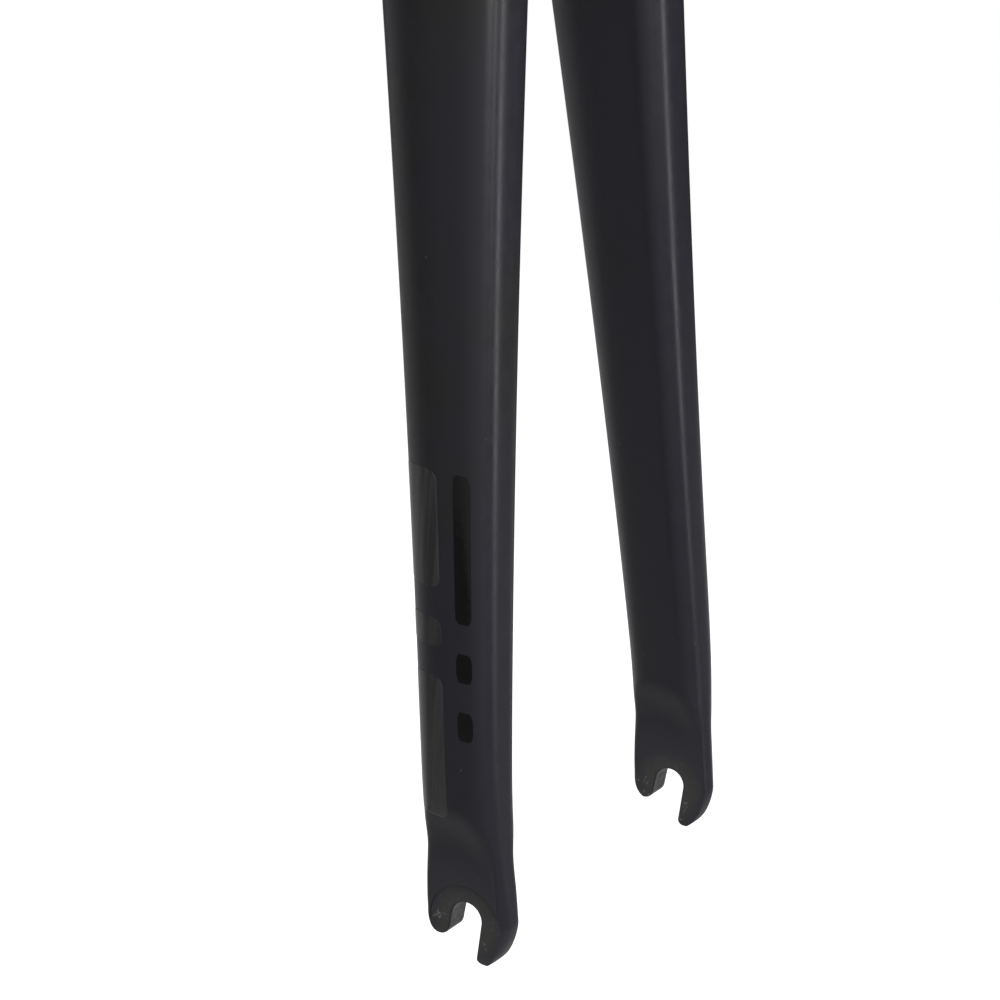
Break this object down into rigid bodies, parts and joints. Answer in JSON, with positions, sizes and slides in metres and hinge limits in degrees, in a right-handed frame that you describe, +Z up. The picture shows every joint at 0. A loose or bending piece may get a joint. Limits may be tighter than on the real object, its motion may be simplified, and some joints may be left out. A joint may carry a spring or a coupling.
{
  "type": "bicycle fork",
  "caption": "Rigid road bicycle fork in moulded carbon: tapered steerer, arched crown for a rim brake, slim curved-out blades and open dropouts.",
  "frame": {"origin": "centre of the lower headset race's seat on the crown, on the steering axis", "axes": "+Z up the steering axis, -Y forwards to the wheel axle, +X to the rider's left"},
  "size_m": [0.1232, 0.0809, 0.679],
  "materials": {
    "carbon": "matt black clear-coated carbon fibre",
    "film": "gloss black film"
  },
  "bodies": {
    "root": {"fork": "carbon", "graphic_right": "film", "graphic_left": "film"}
  },
  "joints": []
}
